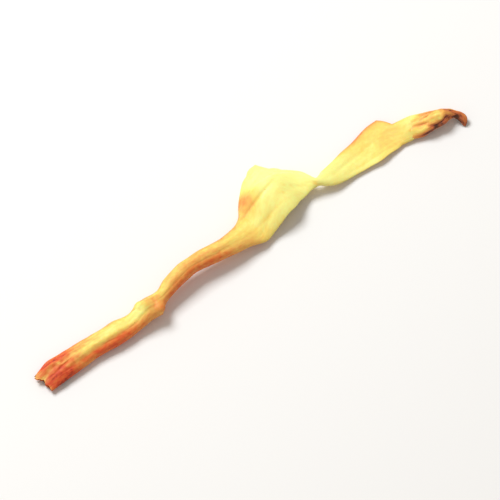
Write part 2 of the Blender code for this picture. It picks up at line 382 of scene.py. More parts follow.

# %% The drawn lines and lumps
# Depth of the groove (below zero it is a ridge), its breadth, how much it browns the tissue (below zero it
# pales it), and the points that it passes on the upper side, in millimetres seen from above. The browning is
# partly the tissue's own brown lines, partly painted shade in the grooves and painted highlight on the
# ridges.
STEM_LINES = (
    (-0.1, 0.3, -0.05, ((-0.4, 1.7), (1.6, 1.8), (4.4, 1.4), (7, 1.2))),
    (0.14, 0.2, 0.18, ((0.9, 2.1), (2.6, 2.1), (4.9, 2), (8.5, 1.9), (12, 1.7))),
    (0.24, 0.2, 0.18, ((3.4, 0.4), (4.6, 0.5), (6.3, 0.7))),
    (0.12, 0.26, 0.12, ((0.2, 0.2), (2, 0.1), (5, 0.3), (8, 0.4))),
    (0.07, 0.35, 0.14, ((2.5, -0.9), (8, -0.5), (14, -0.5), (18, -0.3))),
    (0.1, 0.25, 0.14, ((18.6, 2.2), (19.4, 1.6), (19.9, 0.8))),
    (0.12, 0.26, 0.08, ((21.6, 2), (22.3, 1.3), (22.3, 0.5), (21.6, -0.2))),
    (-0.12, 0.35, -0.04, ((24, 2.5), (26, 3.2), (29, 3.8), (33, 4.1))),
    (-0.12, 0.8, 0, ((22.5, 0.8), (27, 2.2), (33, 2.8), (39, 2.5))),
    (0.03, 0.35, 0.08, ((25, 1.7), (30, 2.9), (36, 2.8), (42, 2.2))),
    (0.05, 0.35, 0.07, ((41.5, 2.3), (43.6, 2.8), (47.1, 3.5), (50.5, 4.1))),
    (0.17, 0.28, 0.11, ((40.7, 4.9), (43.6, 5.9), (46.6, 6.7), (50, 7.7), (52.9, 9.2))),
    (0.05, 0.4, 0.03, ((59, 4.2), (63, 4.6), (68, 5.4), (73, 4.9))),
    (0.04, 0.25, 0.05, ((61, 2.9), (66, 3), (71, 3), (74, 2.9))),
)
CAP_LINES = (
    (0.2, 0.22, 0.28, ((74.7, 3.5), (75.6, 3.5), (76.6, 3.1), (77.4, 2.65))),
    (0.16, 0.18, 0.3, ((77.4, 2.7), (77.2, 2.2), (77.8, 1.9), (78.6, 1.6))),
    (0.34, 0.22, 0.36, ((77.4, 1.75), (78.4, 1.6), (79.5, 1.6), (80.5, 1.85), (81.1, 1.8))),
    (0, 0.2, 0.34, ((74.5, 2.3), (75.9, 1.75), (77.1, 1.55), (78.3, 1.4))),
    (0.06, 0.36, 0.4, ((77, 5.1), (78.6, 4.55), (80.1, 3.75), (81.4, 2.85), (82.4, 2.1))),
    (0.05, 0.22, 0.16, ((75.1, 3.6), (75.8, 4.3), (76.8, 4.5), (77.8, 4.3))),
    (0.12, 0.16, 0.14, ((75.8, 4.2), (77.2, 4), (78.6, 3.6), (79.8, 3))),
    (0.1, 0.16, 0.1, ((81, 3.2), (82.2, 2.4), (83, 1.3), (83.1, 0.3))),
    (-0.16, 0.45, -0.1, ((76.6, 3.7), (78.2, 3.2), (79.6, 2.6))),
    (-0.12, 0.3, -0.06, ((75.4, 2.5), (76.6, 2.3), (77.6, 1.9))),
)
# Where each lump of the knuckle and the foot is, how high it is and how far it reaches.
LUMPS = ((20.2, 2.3, 0.3, 0.6), (21.1, 1.3, 0.38, 0.8), (19.5, 1.2, 0.15, 0.8), (22.9, -0.5, 0.3, 0.8),
         (3.9, 1.15, 0.18, 0.35))
print("drawn lines:", len(STEM_LINES), "on the stem and", len(CAP_LINES), "on the cap; lumps:", len(LUMPS))

# %% Relief of the drawn lines
LINE_POWER = 1.5
LINE_END_FADE = 0.5
# The shares of a path between which it fades, so that its ends don't quite vanish.
LINE_SHARES = (0.03, 0.97)
# Where around a ring the upper side starts and is full, from -1 underneath to 1 on top.
UPPER_SIDE = (-0.1, 0.4)


def drawn_relief(strip, lines, lumps):
    """The height that the drawn lines and lumps give the upper side, and the lines' browning, painted shade
    and painted highlight.
    """
    height, browning = np.zeros_like(strip.x), np.zeros_like(strip.x)
    top = smooth_step(strip.upper, *UPPER_SIDE)
    for depth, breadth, brown, path in lines:
        gap, share = distance_to_path(strip.plan, path)
        fade = np.sin(np.pi * np.clip(share, *LINE_SHARES)) ** LINE_END_FADE
        reach = np.exp(-((gap / breadth) ** LINE_POWER)) * fade * top
        height -= depth * reach
        # Browning along the line: brown lines and painted shade in a groove, painted highlight on a ridge.
        browning += brown * reach
    for x, y, high, radius in lumps:
        gap = np.linalg.norm(strip.plan - (x, y), axis=-1)
        height += high * soft_hill(gap, radius) * top
    return height, browning


print("deepest drawn groove in millimetres:", max(line[0] for line in STEM_LINES + CAP_LINES))

# %% [markdown]
# The small wrinkles are too many to draw. A Displace modifier with a cloud texture would push the skin in
# blocks that ignore its bends. Here the noise is read at each point's place on the strip and stretched
# along it, so the wrinkles run with the tissue and sway a little. A noise's absolute value has round backs
# and a sharp bottom wherever the noise changes sign, which is the shape of a furrow.

# %% Noise helpers
FURROW_POWER = 1.5


def tissue_noise(strip, cells, grain_size=1.0, sway=0.0):
    """Noise from -1 to 1, swaying from side to side, for cells given as length, breadth and seed."""
    length, breadth, seed = cells[0] * grain_size, cells[1] * grain_size, cells[2]
    place = strip.place / (length, breadth, breadth) + seed
    flat = place.reshape(-1, 3)
    if sway:
        slow = strip.place.reshape(-1, 3) / (length / 2, 2 * breadth, 2 * breadth) - seed
        flat[:, 1] += sway * np.array([noise.noise(p) for p in slow.tolist()])
    values = np.array([noise.noise(p) for p in flat.tolist()])
    return values.reshape(strip.x.shape)


def furrows(values, breadth):
    """0 on the round backs and 1 along the sharp bottoms of the furrows of a noise."""
    return np.clip(1 - np.abs(values) / breadth, 0, 1) ** FURROW_POWER


print("a furrow from its back to its bottom:", furrows(np.linspace(1, 0, 3), 1).round(2))

# %% [markdown]
# The foot and the cap shrivelled most, and the knuckle and the neck less. The head and the ribbon dried
# flat and stayed smooth. One short list says so, and the height of the random wrinkles is read from it.

# %% Shrivelling along the mushroom
# Millimetres from the foot, and how shrivelled the tissue is there.
SHRIVELLED = ((-2, 0.8), (5, 0.65), (9, 0.42), (18, 0.26), (21, 0.34), (25, 0.38), (36, 0.36), (42, 0.25),
              (46, 0.12), (54, 0.1), (57, 0.15), (61, 0.1), (70, 0.1), (75.5, 0.2), (77.2, 0.8),
              (84, 0.9))
# How much more the under side shrivelled, and where around a ring one side passes into the other.
UNDER_EXTRA = 0.4
SIDES_MEET = (-0.3, 0.3)
print("most shrivelled stretch:", max(amount for x, amount in SHRIVELLED))

# %% Random wrinkles
# For each kind, the length and breadth of its noise's cells in millimetres of the stem's grain, the seed,
# the sway, the part of the noise that is a furrow (0 for lumps), the height in millimetres where the tissue
# is fully shrivelled, and how much it counts in the painted shade of the furrows. The kinds are soft lumps,
# long furrows, short furrows and small buckles.
RANDOM_WRINKLES = (
    (4.2, 1.7, 5.1, 0, 0, 0.24, 0),
    (8, 1.15, 3.7, 0.5, 0.24, -0.08, 0.6),
    (3.4, 0.45, 8.2, 0.5, 0.25, -0.04, 0.35),
    (0.9, 1, 2.3, 0, 0, 0.07, 0),
)
# How soon the wrinkles are full above the thin edges, and the share of them that the edges keep.
EDGE_RISE = 1.6
EDGE_LEAST = 0.25
print("kinds of random wrinkles:", len(RANDOM_WRINKLES))

# %% Wrinkle both strips
# The size of each piece's grain: the cap's is finer.
STEM_GRAIN = 1.0
CAP_GRAIN = 0.75


def shrivel(strip, grain_size, lines, lumps):
    """Adds all wrinkles to a strip, and keeps how shrivelled each point is, how deep it lies in a furrow for
    the furrows' painted shade, and the drawn lines' browning and painted shade.
    """
    x, amount = np.array(SHRIVELLED).T
    strip.coarse = np.interp(strip.x, x, amount) + UNDER_EXTRA * smooth_step(-strip.upper, *SIDES_MEET)
    edge = np.clip(np.abs(strip.upper) * EDGE_RISE, EDGE_LEAST, 1)
    noises, shade = np.zeros_like(strip.x), np.zeros_like(strip.x)
    for *cells, sway, furrow_breadth, high, shade_weight in RANDOM_WRINKLES:
        values = tissue_noise(strip, cells, grain_size, sway)
        if furrow_breadth:
            values = furrows(values, furrow_breadth)
        noises += high * values
        shade += shade_weight * values
    drawn, strip.drawn_brown = drawn_relief(strip, lines, lumps)
    height = placed_wrinkles(strip) + drawn
    height += strip.coarse * edge * noises
    strip.rings += height[..., None] * strip.outward()
    furrow = np.clip(strip.coarse * shade, 0, 1)
    strip.fields = {"place": strip.place, "furrow": furrow, "coarse": strip.coarse}
    return height


for name, strip, grain_size, lines, lumps in (
    ("stem", stem, STEM_GRAIN, STEM_LINES, LUMPS),
    ("cap", cap, CAP_GRAIN, CAP_LINES, ()),
):
    relief = shrivel(strip, grain_size, lines, lumps)
    print("relief of the", name, "in millimetres:", relief.min().round(2), "to", relief.max().round(2))

# %% [markdown]
# The stem was pulled from its cluster and tore into two prongs with a notch between them, and one prong has
# two points. Cutting a mesh open would leave loose edges. So the first rings are drawn out and in by a few
# soft hills, and by a fine ragged noise that fades within a millimetre.

# %% Tear the foot
# Where each point or notch is (-1 right, 1 left), how far it reaches out in millimetres (below zero it is a
# notch) and its breadth, as a share of half the width.
TORN_END = ((0.22, -0.18, 0.1), (0.72, 0.8, 0.34), (-0.22, 0.22, 0.16), (-0.85, 0.15, 0.14))
# Cells across and through the end, and the seed.
RAGGED_NOISE = (11.0, 1.5, 4.4)
RAGGED_REACH = 0.5
# Millimetres from the end over which the points, the ragged noise and the thinning fade out, and the share
# of its height that the very end keeps.
TEAR_FADE = 2.2
RAGGED_FADE = 0.8
THIN_LENGTH = 3.0
END_THINNESS = 0.6


def ring_noise(turn, across_cells, through_cells, seed):
    """Noise from -1 to 1, read once around a ring."""
    spots = zip(across_cells * np.cos(turn), through_cells * np.sin(turn))
    return np.array([noise.noise((across, through, seed)) for across, through in spots])


def tear(strip):
    """Thins the foot's first rings and pulls them out into the torn end's prongs, notch and fibres."""
    reach = np.zeros_like(strip.turn)
    for place, out, breadth in TORN_END:
        reach += out * soft_hill(np.cos(strip.turn) - place, breadth)
    ragged = RAGGED_REACH * np.abs(ring_noise(strip.turn, *RAGGED_NOISE))
    x, z = strip.rings[:, :, 0], strip.rings[:, :, 2]
    start = x.copy()
    height = z - z.min(axis=1, keepdims=True)
    z -= height * (1 - END_THINNESS) * (1 - smooth_step(start, 0, THIN_LENGTH))
    x -= reach * (1 - smooth_step(start, 0, TEAR_FADE))
    x += ragged * (1 - smooth_step(start, 0, RAGGED_FADE))
    return x[0].min()


print("the longest prong ends at", tear(stem).round(2))

# %% [markdown]
# Where the stem ends, its pale rim runs on into the cap on the upper left side, and stands up as a thin
# lip over the brown folds on the lower right side. Two meshes that only meet would show a straight seam.
# So the cap's first rings flow out of the stem's last ring, and on the right they start under the lip.

# %% Join the rim and the cap
# Millimetres: how far the cap moves on, the length of its join to the rim, and the rim's unevenness.
CAP_GAP = 0.3
JOIN_LENGTH = 1.8
RIM_UNEVEN = 0.45
# Cells across and through the rim, and the seed.
RIM_NOISE = (2.2, 2.2, 7.3)
# The lip's place and breadth, as shares of half the width, and where around a ring it starts and is full.
LIP_PLACE = -0.5
LIP_BREADTH = 0.38
LIP_SIDE = (0.0, 0.4)
# Millimetres: the lip's reach, rise and length, and how far the cap is set in and goes back under it.
LIP_REACH = 0.45
LIP_RISE = 0.1
LIP_LENGTH = 1.8
LIP_STEP = 0.16
LIP_OVERLAP = 0.25
# Where across the cap it starts to be under the lip and is all under it, from -1 left to 1 right.
TUCKED_SIDE = (-0.3, 0.6)

from_end = stem.place[-1, 0, 0] - stem.place[..., 0]
near_end = (1 - smooth_step(from_end, 0, LIP_LENGTH))[..., None]
lip = soft_hill(stem.across - LIP_PLACE, LIP_BREADTH) * smooth_step(stem.upper, *LIP_SIDE)
forward = RIM_UNEVEN * ring_noise(stem.turn, *RIM_NOISE) + LIP_REACH * lip
forward = forward[..., None] * (1, 0, 0)
stem.rings += near_end * (forward + LIP_RISE * lip[..., None] * stem.outward())

rim = stem.rings[-1]
inward = rim.mean(axis=0) - rim
inward /= np.linalg.norm(inward, axis=-1, keepdims=True)
under_lip = smooth_step(-np.cos(cap.turn), *TUCKED_SIDE)[:, None]
back = LIP_REACH * lip[-1][:, None] + LIP_OVERLAP * under_lip
seat = rim + LIP_STEP * under_lip * inward - back * (1, 0, 0)
cap.rings[..., 0] += CAP_GAP
held = 1 - smooth_step(cap.place[..., 0:1], 0, JOIN_LENGTH)
cap.rings += held * (seat - cap.rings[0])
print("the lip reaches", LIP_REACH, "millimetres over the cap")

# %% [markdown]
# The rings are skinned with four-cornered faces. Both ends of the crushed tube are open, so each closes
# with a pocket: the skin turns round the lip, runs in between the two walls and comes out again. The cap's
# neck closes the pocket of the rim, so no gap shows between the pieces.

# %% Pocket helpers
POCKET_ROWS = 12
# The share of the end's thickness that the wall on either side of the pocket takes.
WALL_SHARE = 0.16
# Powers below 1, which square off the floor of the pocket and its two sides.
FLOOR_POWER = 0.35
SIDE_POWER = 0.5


def pocket(ring, depth, direction):
    """Rows of points that lead from the upper side of an end ring to its under side, by way of a pocket."""
    half = len(ring) // 2
    upper, under = ring[1:half], ring[:half:-1]
    turn = np.linspace(0, np.pi, POCKET_ROWS + 2)[1:-1]
    spread = np.sign(np.cos(turn)) * np.abs(np.cos(turn)) ** FLOOR_POWER
    share = 0.5 - (0.5 - WALL_SHARE) * spread
    inward = np.sin(turn) ** FLOOR_POWER
    breadth = np.sin(np.linspace(0, np.pi, half + 1)[1:half]) ** SIDE_POWER
    rows = upper[None] * (1 - share[:, None, None]) + under[None] * share[:, None, None]
    return rows + depth * (inward[:, None] * breadth[None])[..., None] * np.array(direction)


def pocket_faces(ring, inner, flip):
    """The faces from one side of an end ring through the pocket to the other, with a fan at each edge."""
    half = len(ring) // 2
    ladder = np.vstack([ring[1:half][None], inner, ring[:half:-1][None]])
    faces = np.stack([ladder[:-1, :-1], ladder[1:, :-1], ladder[1:, 1:], ladder[:-1, 1:]], axis=-1)
    faces = faces.reshape(-1, 4).tolist()
    for column, corner in ((0, ring[0]), (-1, ring[half])):
        edge = ladder[:, column]
        fans = [(corner, a, b) if column else (corner, b, a) for a, b in zip(edge, edge[1:])]
        faces += [list(map(int, fan)) for fan in fans]
    return [face[::-1] for face in faces] if flip else faces


print("rows of points in a pocket:", POCKET_ROWS)

# %% Mesh helper
SHARP_ANGLE = math.radians(60)


def new_object(name, data):
    """An object in the scene with the given data."""
    made = bpy.data.objects.new(name, data)
    bpy.context.scene.collection.objects.link(made)
    return made


def mesh_object(name, points, faces, fields):
    """A smooth mesh object that keeps each field as an attribute of its points."""
    data = bpy.data.meshes.new(name)
    data.from_pydata(points.tolist(), [], faces)
    for key, values in fields.items():
        kind, part = ("FLOAT_VECTOR", "vector") if values.ndim == 2 else ("FLOAT", "value")
        kept = data.attributes.new(key, kind, "POINT")
        kept.data.foreach_set(part, values.astype(np.float32).ravel())
    data.shade_smooth()
    data.set_sharp_from_angle(angle=SHARP_ANGLE)
    data.validate()
    data.update()
    return new_object(name, data)


print("edges are sharp from", round(math.degrees(SHARP_ANGLE)), "degrees")

# %% Skin helper
def skin(name, strip, start_pocket, end_pocket):
    """A closed mesh object from a strip, pressed flat where it would go below the ground."""
    count, points = strip.rings.shape[:2]
    index = np.arange(count * points).reshape(count, points)
    following = np.roll(index, -1, axis=1)
    faces = np.stack([index[:-1], following[:-1], following[1:], index[1:]], axis=-1)
    faces = faces.reshape(-1, 4).tolist()
    vertices, source = [strip.rings.reshape(-1, 3)], [index.ravel()]
    total = index.size
    for ring_number, (depth, direction), flip in ((0, start_pocket, True), (count - 1, end_pocket, False)):
        rows = pocket(strip.rings[ring_number], depth, direction)
        inner = np.arange(rows[..., 0].size).reshape(rows.shape[:2]) + total
        total += inner.size
        faces += pocket_faces(index[ring_number], inner, flip)
        vertices.append(rows.reshape(-1, 3))
        source.append(np.tile(index[ring_number, 1:points // 2], len(rows)))
    corners = np.concatenate(vertices) * MM
    corners[:, 2] = np.maximum(corners[:, 2], 0)
    source = np.concatenate(source)
    fields = {key: value.reshape(-1, *value.shape[2:])[source] for key, value in strip.fields.items()}
    return mesh_object(name, corners, faces, fields)


print("skin helper:", skin.__name__)

# %% [markdown]
# Tissue browns as it dries, most where it was thin or bruised: the foot and the whole cap. The head and the
# ribbon stayed pale yellow. The right flank, which faces away from the lamp, is browner, partly as painted
# shade, and the lower edge of the flap, where it folds down, is browned as painted shade. A painted image
# would tie the colours to one unwrapping, so each point gets one number, its browning, from short lists and
# noise.

# %% Browning along the stem and the cap
# Distance from the foot in millimetres, then the browning at the right edge, the middle and the left edge.
# At the right edge, the side away from the lamp, the browning is partly painted shade.
STEM_BROWNING = (
    (-1, 0.65, 0.6, 0.6),
    (3, 0.7, 0.65, 0.68),
    (6, 0.66, 0.55, 0.7),
    (9, 0.52, 0.28, 0.57),
    (13, 0.7, 0.18, 0.5),
    (18, 0.62, 0.12, 0.38),
    (20, 0.5, 0.11, 0.31),
    (21.3, 0.44, 0.28, 0.46),
    (26, 0.62, 0.34, 0.44),
    (31, 0.6, 0.37, 0.36),
    (36, 0.6, 0.26, 0.5),
    (41, 0.36, 0.13, 0.46),
    (44, 0.16, 0.05, 0.2),
    (48, 0.06, 0.01, 0.1),
    (57, 0.05, 0, 0.04),
    (62, 0.06, 0.02, 0.28),
    (67, 0.08, 0.16, 0.75),
    (72, 0.17, 0.22, 0.55),
    (76.5, 0.04, 0.06, 0.06),
)
CAP_BROWNING = (
    (75.2, 0.36, 0.08, 0.03),
    (76.5, 0.5, 0.26, 0.06),
    (78, 0.58, 0.33, 0.28),
    (79.5, 0.62, 0.34, 0.5),
    (80.7, 0.74, 0.56, 0.66),
    (81.8, 0.69, 0.52, 0.61),
    (82.5, 0.88, 0.84, 0.86),
    (83.2, 0.92, 0.9, 0.92),
)
print("browning rows:", len(STEM_BROWNING), "for the stem and", len(CAP_BROWNING), "for the cap")

# %% Single patches
# Where a patch is, seen from above, how far it reaches along and across, and how much it browns (below zero
# it pales). Some patches are painted shade or painted highlight, as marked.
STEM_PATCHES = (
    (-0.2, 1.4, 1, 0.6, -0.42),
    (0.5, 0.5, 0.8, 0.5, -0.38),
    (0.5, -1.7, 0.6, 0.5, -0.34),
    (2.2, 1, 1.2, 0.6, -0.12),
    # A painted highlight on the small lump at the foot.
    (3.9, 1.15, 0.45, 0.3, -0.3),
    (7.4, 1.3, 1.6, 0.7, -0.1),
    (11, -0.9, 1.2, 0.4, 0.12),
    # A painted highlight on the knuckle's swelling.
    (19.4, 1.2, 1.4, 1, -0.18),
    # The next three are painted shade on the flap's lower edge, where it folds down.
    (44.8, 8, 1.7, 1.9, 0.42),
    (46.8, 8.4, 1.3, 1, 0.08),
    (43, 6.2, 1.3, 0.9, 0.2),
    (70.6, 5, 1.8, 1.2, 0.06),
    (51.6, 6.3, 0.3, 0.2, 0.1),
    (50.6, 5.2, 0.25, 0.25, 0.12),
    (52.6, 6, 0.3, 0.2, 0.08),
    (56.3, 4.2, 0.6, 0.4, 0.12),
    (73.3, 6.8, 0.35, 0.3, 0.4),
    # Painted shade in the pit at the lip's inner corner.
    (74.8, 3.35, 0.4, 0.28, 0.6),
)
CAP_PATCHES = (
    # The next two darken the crack's hollow and the hook's lower edge: the cap's own brown and painted shade.
    (80.5, 1.9, 0.5, 0.4, 0.25),
    (82.1, 0.3, 0.3, 0.9, 0.12),
    (76.4, 5.2, 1.2, 0.9, -0.1),
    (76.4, 2.4, 1.6, 0.45, -0.18),
    (78.5, 3.4, 1, 0.6, -0.08),
    (77.4, 3.9, 0.9, 0.35, 0.1),
)
print("patches:", len(STEM_PATCHES), "on the stem and", len(CAP_PATCHES), "on the cap")

# %% Brown every point
# How much browner the under side is, and where around a ring that starts and is full.
UNDER_BROWNING = 0.16
UNDER_BROWNING_SIDE = (-0.2, 0.5)
# How far towards the right edge the brown flank starts and is full, as shares of half the width. The flank
# faces away from the lamp, so its browning is partly the tissue's own and partly painted shade.
STEM_BROWN_AND_SHADED_FLANK = (0.0, 0.85)
CAP_BROWN_AND_SHADED_FLANK = (0.4, 0.95)
# Millimetres from the foot, and the power that keeps the left edge's browning to a rim: higher is narrower.
LEFT_EDGE_POWER = ((4.0, 1.5), (12.0, 2.6), (50.0, 2.2), (60.0, 6.0))
# Length, breadth, seed and strength of each size of blotch.
BLOTCHES = ((9.0, 2.4, 6.6, 0.12), (2.2, 0.9, 1.3, 0.12), (0.6, 0.35, 9.7, 0.11))
BLOTCH_SWAY = 0.6
# The share of them that the palest tissue keeps, and the browning from which they are full.
PALE_SHARE = 0.5
BLOTCHED_FROM = 0.3
# The share of them that the smoothest tissue keeps, and how fast it grows with the shrivelling.
SMOOTH_SHARE = 0.55
SHARE_GROWTH = 0.9


def brown(strip, table, flank, patches):
    """How brown each point is, from 0, pale yellow, to 1, nearly black, with painted shade and highlight in
    it.
    """
    x, right, middle, left = np.array(table).T
    columns = [np.interp(strip.x, x, column) for column in (right, middle, left)]
    power = np.interp(strip.x, *zip(*LEFT_EDGE_POWER))
    to_right = smooth_step(-strip.across, *flank)
    to_edge = np.where(strip.across < 0, to_right, np.abs(strip.across) ** power)
    side = np.where(strip.across < 0, columns[0], columns[2])
    value = columns[1] * (1 - to_edge) + side * to_edge + strip.drawn_brown
    for x, y, reach_along, reach_across, amount in patches:
        away = ((strip.plan - (x, y)) / (reach_along, reach_across)) ** 2
        value += amount * np.exp(-away.sum(axis=-1)) * smooth_step(strip.upper, *SIDES_MEET)
    blotch_size = PALE_SHARE + (1 - PALE_SHARE) * smooth_step(value, 0, BLOTCHED_FROM)
    blotch_size *= np.minimum(1, SMOOTH_SHARE + SHARE_GROWTH * strip.coarse)
    for *cells, amount in BLOTCHES:
        value += amount * blotch_size * tissue_noise(strip, cells, sway=BLOTCH_SWAY)
    value += UNDER_BROWNING * smooth_step(-strip.upper, *UNDER_BROWNING_SIDE)
    return np.clip(value, 0, 1)


# The browning is partly painted: shade on the right flank, the flap's fold and the grooves, highlight on
# ridges and bumps.
stem.fields["browning"] = brown(stem, STEM_BROWNING, STEM_BROWN_AND_SHADED_FLANK, STEM_PATCHES)
cap.fields["browning"] = brown(cap, CAP_BROWNING, CAP_BROWN_AND_SHADED_FLANK, CAP_PATCHES)
print("mean browning:", stem.fields["browning"].mean().round(2), cap.fields["browning"].mean().round(2))

# %% [markdown]
# The stations start at the foot, and the frame's origin is under the middle of the box. The shift between
# them is measured, not typed: the middle of both skins goes where the middle of the solids is. Skins that
# would reach past the solids' box are drawn in to it.

# %% Make the meshes
# How deep each end's pocket is, and which way it runs.
FOOT_POCKET = (1.4, (1, 0, 0))
RIM_POCKET = (1.0, (-0.95, 0.3, 0))
NECK_POCKET = (0.05, (1, 0, 0))
HOOK_POCKET = (-0.02, (0, 1, 0))

both = np.concatenate([stem.rings, cap.rings])
low, high = both.min(axis=(0, 1)), both.max(axis=(0, 1))
box_middle = np.array((cad_box[0] + cad_box[1]) / 2) / MM
box_size = np.array(cad_box[1] - cad_box[0]) / MM
fit = np.minimum(1, box_size / (high - np.array([low[0], low[1], 0])))
shift = box_middle - fit * (low + high) / 2
shift[2] = 0.0
for strip in (stem, cap):
    strip.rings = strip.rings * fit + shift
stem_skin = skin("stem_skin", stem, FOOT_POCKET, RIM_POCKET)
cap_skin = skin("cap_skin", cap, NECK_POCKET, HOOK_POCKET)
print("shift in millimetres:", shift.round(2), "and fit:", fit.round(4))
print("faces:", len(stem_skin.data.polygons), len(cap_skin.data.polygons))

# %% [markdown]
# Stem and cap are the same tissue, so they share three effects: fine fibres that run along the stem, small
# dark flecks, and the tint that turns browning into a colour. Copying the nodes into both materials would
# let them drift apart. So each effect is built once as a node group with named inputs.

# %% Group helpers
# The kind of socket for a value, by how many numbers it has.
SOCKET_KINDS = {1: "NodeSocketFloat", 3: "NodeSocketVector", 4: "NodeSocketColor"}


def new_group(name, inputs, output, output_kind=SOCKET_KINDS[1]):
    """An empty shader group with its sockets, its input node and its output node."""
    tree = bpy.data.node_groups.new(name, "ShaderNodeTree")
    for label, value in inputs.items():
        kind = SOCKET_KINDS[np.size(value)]
        tree.interface.new_socket(label, in_out="INPUT", socket_type=kind).default_value = value
    tree.interface.new_socket(output, in_out="OUTPUT", socket_type=output_kind)
    return tree, tree.nodes.new("NodeGroupInput"), tree.nodes.new("NodeGroupOutput")


def fill(node, sockets):
    """Sets a node's inputs, by name or as input0, input1 and so on, to values or other nodes' outputs."""
    for label, value in sockets.items():
        label = label.replace("_", " ")
        number = label.removeprefix("input")
        socket = node.inputs[int(number) if number.isdigit() else label]
        if isinstance(value, bpy.types.NodeSocket):
            node.id_data.links.new(value, socket)
        else:
            socket.default_value = value


def add(tree, kind, settings=None, **sockets):
    """A new node with its settings and its inputs."""
    made = tree.nodes.new(kind)
    for key, value in (settings or {}).items():
        setattr(made, key, value)
    fill(made, sockets)
    return made


def maths(tree, operation, first, second=0.0, third=0.0, clamp=False):
    """The output of a Math node."""
    settings = {"operation": operation, "use_clamp": clamp}
    return add(tree, "ShaderNodeMath", settings, input0=first, input1=second, input2=third).outputs[0]


def mix(tree, share, first, second):
    """The colour output of a Mix node, whose sockets for colours are numbers 6 and 7."""
    settings = {"data_type": "RGBA"}
    return add(tree, "ShaderNodeMix", settings, input0=share, input6=first, input7=second).outputs[2]


def placed(tree, group, **sockets):
    """The output of a shader group that is placed in a tree."""
    return add(tree, "ShaderNodeGroup", {"node_tree": group}, **sockets).outputs[0]


print("node helpers:", ", ".join(made.__name__ for made in (new_group, fill, add, maths, mix, placed)))

# %% [markdown]
# A stem is a bundle of long cells, and once it is dry they show as fine streaks. A Wave texture makes even
# stripes, as on cloth. A Noise texture that is stretched along the strip makes streaks of uneven length and
# strength, so it is used, and it reads the place attribute, so that the streaks follow every bend.

# %% Fibres
FIBRE_ROUGHNESS = 0.55


def fibre_group():
    """Long thin streaks: a height from 0 to 1 that runs along the place's first axis."""
    inputs = {"Place": (0, 0, 0), "Length": 6.0, "Breadth": 0.3, "Detail": 3.0}
    tree, given, result = new_group("tissue fibres", inputs, "Height")
    across = maths(tree, "DIVIDE", 1.0, given.outputs["Breadth"])
    lengthwise = maths(tree, "DIVIDE", 1.0, given.outputs["Length"])
    scale = add(tree, "ShaderNodeCombineXYZ", X=lengthwise, Y=across, Z=across).outputs[0]
    stretched = add(
        tree, "ShaderNodeVectorMath", {"operation": "MULTIPLY"},
        input0=given.outputs["Place"], input1=scale,
    ).outputs[0]
    streaks = add(
        tree, "ShaderNodeTexNoise",
        Vector=stretched, Scale=1.0, Detail=given.outputs["Detail"], Roughness=FIBRE_ROUGHNESS,
    )
    fill(result, {"Height": streaks.outputs["Fac"]})
    return tree


fibres = fibre_group()
print("group:", fibres.name)

# %% [markdown]
# A few dark specks sit in the skin where it was bruised. Noise with a hard threshold makes ragged islands.
# A Voronoi texture makes round scattered dots, and its cell colour is a random number for each dot, so a
# chosen share of them can be left out.

# %% Flecks
FLECK_SOFTNESS = 3.0


def fleck_group():
    """Small dark specks, scattered over the place: a mask from 0 to 1."""
    inputs = {"Place": (0, 0, 0), "Spacing": 1.2, "Size": 0.12, "Share": 0.3}
    tree, given, result = new_group("dark flecks", inputs, "Mask")
    scale = maths(tree, "DIVIDE", 1.0, given.outputs["Spacing"])
    cells = add(tree, "ShaderNodeTexVoronoi", Vector=given.outputs["Place"], Scale=scale, Randomness=1.0)
    chosen = add(tree, "ShaderNodeSeparateColor", Color=cells.outputs["Color"]).outputs[0]
    kept = maths(tree, "LESS_THAN", chosen, given.outputs["Share"])
    edge = maths(tree, "DIVIDE", cells.outputs["Distance"], given.outputs["Size"])
    spot = maths(tree, "SUBTRACT", 1.0, edge, clamp=True)
    soft = maths(tree, "MINIMUM", maths(tree, "MULTIPLY", spot, FLECK_SOFTNESS), 1.0)
    fill(result, {"Mask": maths(tree, "MULTIPLY", soft, kept)})
    return tree


flecks = fleck_group()
print("group:", flecks.name)

# %% [markdown]
# Drying tissue passes from pale yellow through gold, ochre and orange to rust and dark bark. A Color Ramp
# would do it, but it keeps its colours inside, the same for both materials. A chain of mixes does the same
# with each colour as an input, so the cap can have an orange and a rust of its own.

# %% Tint
TINT_STOPS = (("Golden", 0.2), ("Ochre", 0.4), ("Orange", 0.6), ("Rust", 0.8), ("Bark", 1.0))
# A plain grey, which stands in each colour's socket until a material sets it.
UNSET_COLOUR = (0.5, 0.5, 0.5, 1)


def tint_group():
    """The colour of tissue for its browning, from pale through golden, ochre, orange and rust to bark."""
    colours = dict.fromkeys(["Pale"] + [label for label, stop in TINT_STOPS], UNSET_COLOUR)
    inputs = {"Browning": 0.0} | colours
    tree, given, result = new_group("browning tint", inputs, "Color", SOCKET_KINDS[4])
    colour = given.outputs["Pale"]
    before = 0.0
    for label, stop in TINT_STOPS:
        share = add(
            tree, "ShaderNodeMapRange", {"interpolation_type": "LINEAR"},
            Value=given.outputs["Browning"], From_Min=before, From_Max=stop,
        ).outputs[0]
        colour = mix(tree, share, colour, given.outputs[label])
        before = stop
    fill(result, {"Color": colour})
    return tree


tint = tint_group()
print("group:", tint.name)

# %% [markdown]
# Dried tissue is matt and slightly waxy, and light sinks into it: thin edges glow and shadows stay warm.
# A Translucent shader would let light straight through, as thin paper does. Subsurface scattering with a
# red-heavy radius keeps the surface solid. The fibres shift the browning, and the furrows add painted shade,
# browning the colour deep in each furrow, so the colour changes with the relief; the most shrivelled tissue
# is a little duller, and the finest fibres are a bump.

